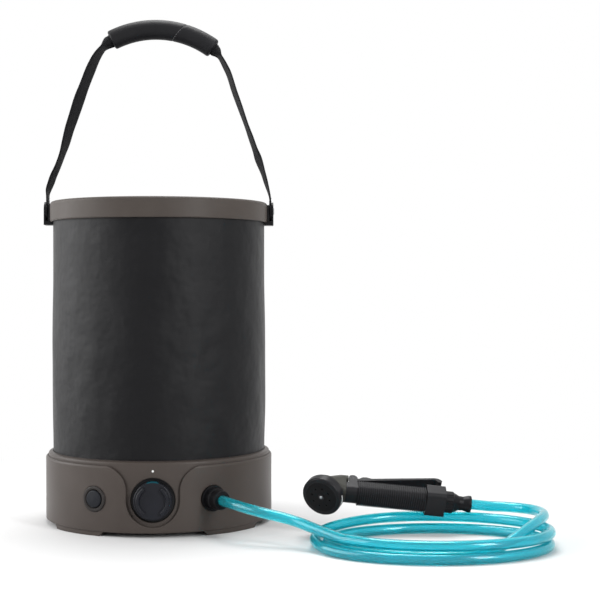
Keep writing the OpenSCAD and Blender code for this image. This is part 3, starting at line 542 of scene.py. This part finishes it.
points, faces = [], []
for row in range(grip_rows + 1):
    share = 2 * row / grip_rows - 1
    pinch = max(0, (abs(share) - 1 + pinch_length) / pinch_length)
    narrow = 1 - math.sqrt(max(0, 1 - pinch * pinch))
    for k in range(grip_sides):
        a = 2 * math.pi * k / grip_sides
        off_seam = (share - seam_share(a)) * grip_sweep * grip_bend
        radius = grip_radius * (1 - pinch_share * narrow)
        radius += 0.00012 * math.sin(5 * a + 3 * share) * abs(share) ** 3
        radius -= seam_depth * math.exp(-(off_seam / seam_width) ** 2)
        points.append(grip_point(share, a, radius)[0])
for share, size in ((-1, 0.6), (-0.96, 0.55), (1, 0.6), (0.96, 0.55)):
    for k in range(grip_sides):
        points.append(grip_point(share, 2 * math.pi * k / grip_sides, grip_radius * size)[0])
left_lip, left_floor, right_lip, right_floor = range(grip_rows + 1, grip_rows + 5)
bands = [(row, row + 1) for row in range(grip_rows)]
bands += [(left_lip, 0), (left_floor, left_lip), (grip_rows, right_lip), (right_lip, right_floor)]
for lower, upper in bands:
    for k in range(grip_sides):
        n = (k + 1) % grip_sides
        low, high = lower * grip_sides, upper * grip_sides
        faces.append((low + k, low + n, high + n, high + k))
faces.append(tuple(left_floor * grip_sides + k for k in reversed(range(grip_sides))))
faces.append(tuple(right_floor * grip_sides + k for k in range(grip_sides)))
grip = new_piece("grip_cover", points, faces)
neoprene, nodes, links, shader = new_finish("black_neoprene")
knit = grain(nodes, links, 0.0012, 2)
tint(nodes, links, shader, grain(nodes, links, 0.02, 4),
     (0.3, paint(16, 16, 19)), (0.7, paint(22, 22, 25)))
roughen(nodes, links, shader, knit, 0.45, 0.6)
shader.inputs["Specular IOR Level"].default_value = 0.2
raise_by(nodes, links, shader, knit, 0.0004, 0.5)
grip.data.materials.append(neoprene)
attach(grip, "handle")
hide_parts("handle_grip")


# Sewing on the handle
# Grey polyester thread, as short raised stitches: one row round the grip's slanting seam and two rows
# across each strap above its eye, on both faces.
thread_radius = 0.00038
thread_sides = 6
stitch_swell = ((0, 0.3), (0.2, 1), (0.8, 1), (1, 0.3))
seam_stitches = 24
seam_sink = 0.0004
row_stitches, row_pitch = 6, 0.003
row_heights = (0.4235, 0.4275)
row_start, row_end = 0.0004, 0.0026
stitches = []
for k in range(seam_stitches):
    ends = [2 * math.pi * (k + edge) / seam_stitches for edge in (0.12, 0.88)]
    (a, a_out), (b, b_out) = [grip_point(seam_share(end), end, grip_radius - seam_sink) for end in ends]
    stitches.append((a, b, (a_out + b_out).normalized()))
for side in (-1, 1):
    for face in (-1, 1):
        for height in row_heights:
            for k in range(row_stitches):
                x = side * pin_out + face * strap_thick / 2
                y = (k - row_stitches / 2) * row_pitch
                a, b = Vector((x, y + row_start, height)), Vector((x, y + row_end, height))
                stitches.append((a, b, Vector((face, 0, 0))))
points, faces = [], []
for a, b, out in stitches:
    across = (b - a).normalized().cross(out).normalized()
    first = len(points)
    for share, swell in stitch_swell:
        for k in range(thread_sides):
            turn = 2 * math.pi * k / thread_sides
            round_way = math.cos(turn) * across + math.sin(turn) * out
            points.append(a.lerp(b, share) + swell * thread_radius * round_way)
    last = len(points) - thread_sides
    for low in range(first, last, thread_sides):
        high = low + thread_sides
        for k in range(thread_sides):
            n = (k + 1) % thread_sides
            faces.append((low + n, low + k, high + k, high + n))
    faces.append(tuple(first + k for k in range(thread_sides)))
    faces.append(tuple(last + k for k in reversed(range(thread_sides))))
sewing = new_piece("handle_sewing", points, faces)
thread, nodes, links, shader = new_finish("grey_thread")
ply = grain(nodes, links, 0.0006, 2)
tint(nodes, links, shader, ply, (0.3, paint(72, 72, 75)), (0.7, paint(104, 104, 107)))
roughen(nodes, links, shader, ply, 0.5, 0.7)
sewing.data.materials.append(thread)
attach(sewing, "handle")


# Sprayer
# Trigger sprayer moulded in black plastic, with a ribbed soft cover on its handle, an olive grey neck,
# a turning dial with its face plate, a squeeze lever on a blackened pin, and the hose's connector.
sprayer_plastic = moulded("sprayer_plastic", dark=(20, 20, 23), light=(26, 26, 29), rough=0.36,
                          grain_size=0.0012, grain_depth=0.0001, edge=0.0008, gloss=0.2)
olive_plastic = moulded("olive_plastic", dark=(58, 58, 54), light=(66, 66, 62), rough=0.42,
                        grain_size=0.001, grain_depth=0.0001, edge=0.0008)
soft_cover = moulded("soft_cover", dark=(10, 10, 12), light=(16, 16, 18), rough=0.5,
                     grain_size=0.001, grain_depth=0.0002, edge=0.0004)
black_steel = metal("black_steel", (58, 58, 60), 0.4)
ribbed_cover, nodes, links, shader = new_finish("ribbed_cover")
# The cover's colour comes from an ambient occlusion node: painted shade that darkens the grooves between
# the ribs to near black.
groove_shade = nodes.new("ShaderNodeAmbientOcclusion")
groove_shade.samples = 8
groove_shade.inputs["Distance"].default_value = 0.0025
tint(nodes, links, shader, groove_shade.outputs["AO"], (0.55, paint(1, 1, 2)), (0.95, paint(26, 26, 30)))
roughen(nodes, links, shader, grain(nodes, links, 0.004), 0.42, 0.56)
shader.inputs["Specular IOR Level"].default_value = 0.2
raise_by(nodes, links, shader, grain(nodes, links, 0.001), 0.0002, 0.35)
dress(sprayer_plastic, "sprayer_handle", "spray_dial", "spray_lever")
dress(ribbed_cover, "handle_ribs")
dress(olive_plastic, "sprayer_neck")
dress(soft_cover, "spray_face")
dress(black_steel, "lever_pin", "dial_spindle")
dress(black_nylon, "valve_stem")
dress(black_plastic, "hose_connector")


# Dial strip and screw
# A pale strip standing on the right side of the dial's edge, and the small steel screw in the
# middle of its face.
dial_back = Vector((0.214382, -0.135819, 0.054698))
dial_radius, dial_face = 0.0255, 0.0166
spray_way = Vector((-0.446369, -0.821089, -0.355763))
strip_way = (Vector((1, 0, 0)) - spray_way.x * spray_way).normalized()
strip_side = spray_way.cross(strip_way)
strip_half = math.radians(13)
strip_steps = 12
strip_outline = ((-0.0002, 0.0086), (0.0002, 0.0087), (0.0002, 0.0101), (-0.0002, 0.0102))


def dial_out(a):
    return math.cos(a) * strip_way + math.sin(a) * strip_side


points, faces = [], []
for i in range(strip_steps + 1):
    out = dial_out(strip_half * (2 * i / strip_steps - 1))
    for proud, depth in strip_outline:
        points.append(dial_back + (dial_radius + proud) * out + depth * spray_way)
for low in range(0, 4 * strip_steps, 4):
    high = low + 4
    for k in range(4):
        n = (k + 1) % 4
        faces.append((low + k, high + k, high + n, low + n))
faces.append((0, 1, 2, 3))
faces.append((high + 3, high + 2, high + 1, high))
pale_strip = new_piece("dial_pale_strip", points, faces)
pale_strip.data.materials.append(white_plastic)
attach(pale_strip, "spray_dial")

screw_seat = dial_back + dial_face * spray_way
screw_outline = ((0.0019, -0.0004), (0.0019, 0.0003), (0.0015, 0.0007), (0.0008, 0.0009))
screw_sides = 24
points, faces = [], []
for radius, height in screw_outline:
    for k in range(screw_sides):
        points.append(screw_seat + radius * dial_out(2 * math.pi * k / screw_sides) + height * spray_way)
for low in range(0, len(points) - screw_sides, screw_sides):
    high = low + screw_sides
    for k in range(screw_sides):
        n = (k + 1) % screw_sides
        faces.append((low + k, low + n, high + n, high + k))
faces.append(tuple(range(high, high + screw_sides)))
screw = new_piece("dial_screw", points, faces)
screw.data.materials.append(steel)
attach(screw, "base")


# Floor and light
# A pale floor that runs out of sight into a white surround, a broad lamp on the left, a weaker one
# on the right and one overhead, all soft.
floor_half = 30
floor_corners = [(x * floor_half, y * floor_half, 0) for x, y in ((-1, -1), (1, -1), (1, 1), (-1, 1))]
floor = new_piece("floor", floor_corners, [(0, 1, 2, 3)])
pale_floor, nodes, links, shader = new_finish("pale_floor")
shader.inputs["Base Color"].default_value = (0.78, 0.78, 0.78, 1)
shader.inputs["Roughness"].default_value = 0.9
shader.inputs["Specular IOR Level"].default_value = 0.1


def seen_by_eye(nodes, links):
    path = nodes.new("ShaderNodeLightPath")
    seen = path.outputs["Is Camera Ray"]
    for kind in ("Is Glossy Ray", "Is Transmission Ray"):
        either = nodes.new("ShaderNodeMath")
        either.operation = "MAXIMUM"
        links.new(seen, either.inputs[0])
        links.new(path.outputs[kind], either.inputs[1])
        seen = either.outputs["Value"]
    return seen


glow = nodes.new("ShaderNodeEmission")
where = nodes.new("ShaderNodeTexCoord")
away = nodes.new("ShaderNodeVectorMath")
away.operation = "DISTANCE"
away.inputs[1].default_value = (0.16, -0.1, 0)
links.new(where.outputs["Object"], away.inputs[0])
fade = nodes.new("ShaderNodeMapRange")
fade.interpolation_type = "SMOOTHSTEP"
fade.inputs["From Min"].default_value = 0.36
fade.inputs["From Max"].default_value = 0.85
links.new(away.outputs["Value"], fade.inputs["Value"])
share_seen = nodes.new("ShaderNodeMath")
share_seen.operation = "MULTIPLY"
links.new(seen_by_eye(nodes, links), share_seen.inputs[0])
links.new(fade.outputs["Result"], share_seen.inputs[1])
blend = nodes.new("ShaderNodeMixShader")
links.new(share_seen.outputs["Value"], blend.inputs["Fac"])
links.new(shader.outputs["BSDF"], blend.inputs[1])
links.new(glow.outputs["Emission"], blend.inputs[2])
links.new(blend.outputs["Shader"], nodes["Material Output"].inputs["Surface"])
floor.data.materials.append(pale_floor)

surround = bpy.data.worlds.new("surround")
bpy.context.scene.world = surround
surround.use_nodes = True
nodes, links = surround.node_tree.nodes, surround.node_tree.links
room = nodes["Background"]
room.inputs["Color"].default_value = (1, 1, 1, 1)
room.inputs["Strength"].default_value = 0.32
white = nodes.new("ShaderNodeBackground")
white.inputs["Color"].default_value = (1, 1, 1, 1)
white.inputs["Strength"].default_value = 1
blend = nodes.new("ShaderNodeMixShader")
links.new(seen_by_eye(nodes, links), blend.inputs["Fac"])
links.new(room.outputs["Background"], blend.inputs[1])
links.new(white.outputs["Background"], blend.inputs[2])
links.new(blend.outputs["Shader"], nodes["World Output"].inputs["Surface"])

lamps = (("lamp_left", (-2.1, -0.1, 1.0), (0, 0, 0.25), 2.8, 1.8, 62),
         ("lamp_right", (1.55, -1.75, 1.0), (0, 0, 0.25), 0.5, 1.4, 31),
         ("lamp_top", (0.1, 0.6, 2.5), (0.1, -0.1, 0), 1.4, 1.4, 54))
for name, place, aimed, wide, tall, power in lamps:
    lamp = bpy.data.lights.new(name, "AREA")
    lamp.shape = "RECTANGLE"
    lamp.size = wide
    lamp.size_y = tall
    lamp.energy = power
    holder = bpy.data.objects.new(name, lamp)
    holder.location = place
    holder.rotation_euler = (Vector(aimed) - Vector(place)).to_track_quat("-Z", "Y").to_euler()
    bpy.context.scene.collection.objects.link(holder)
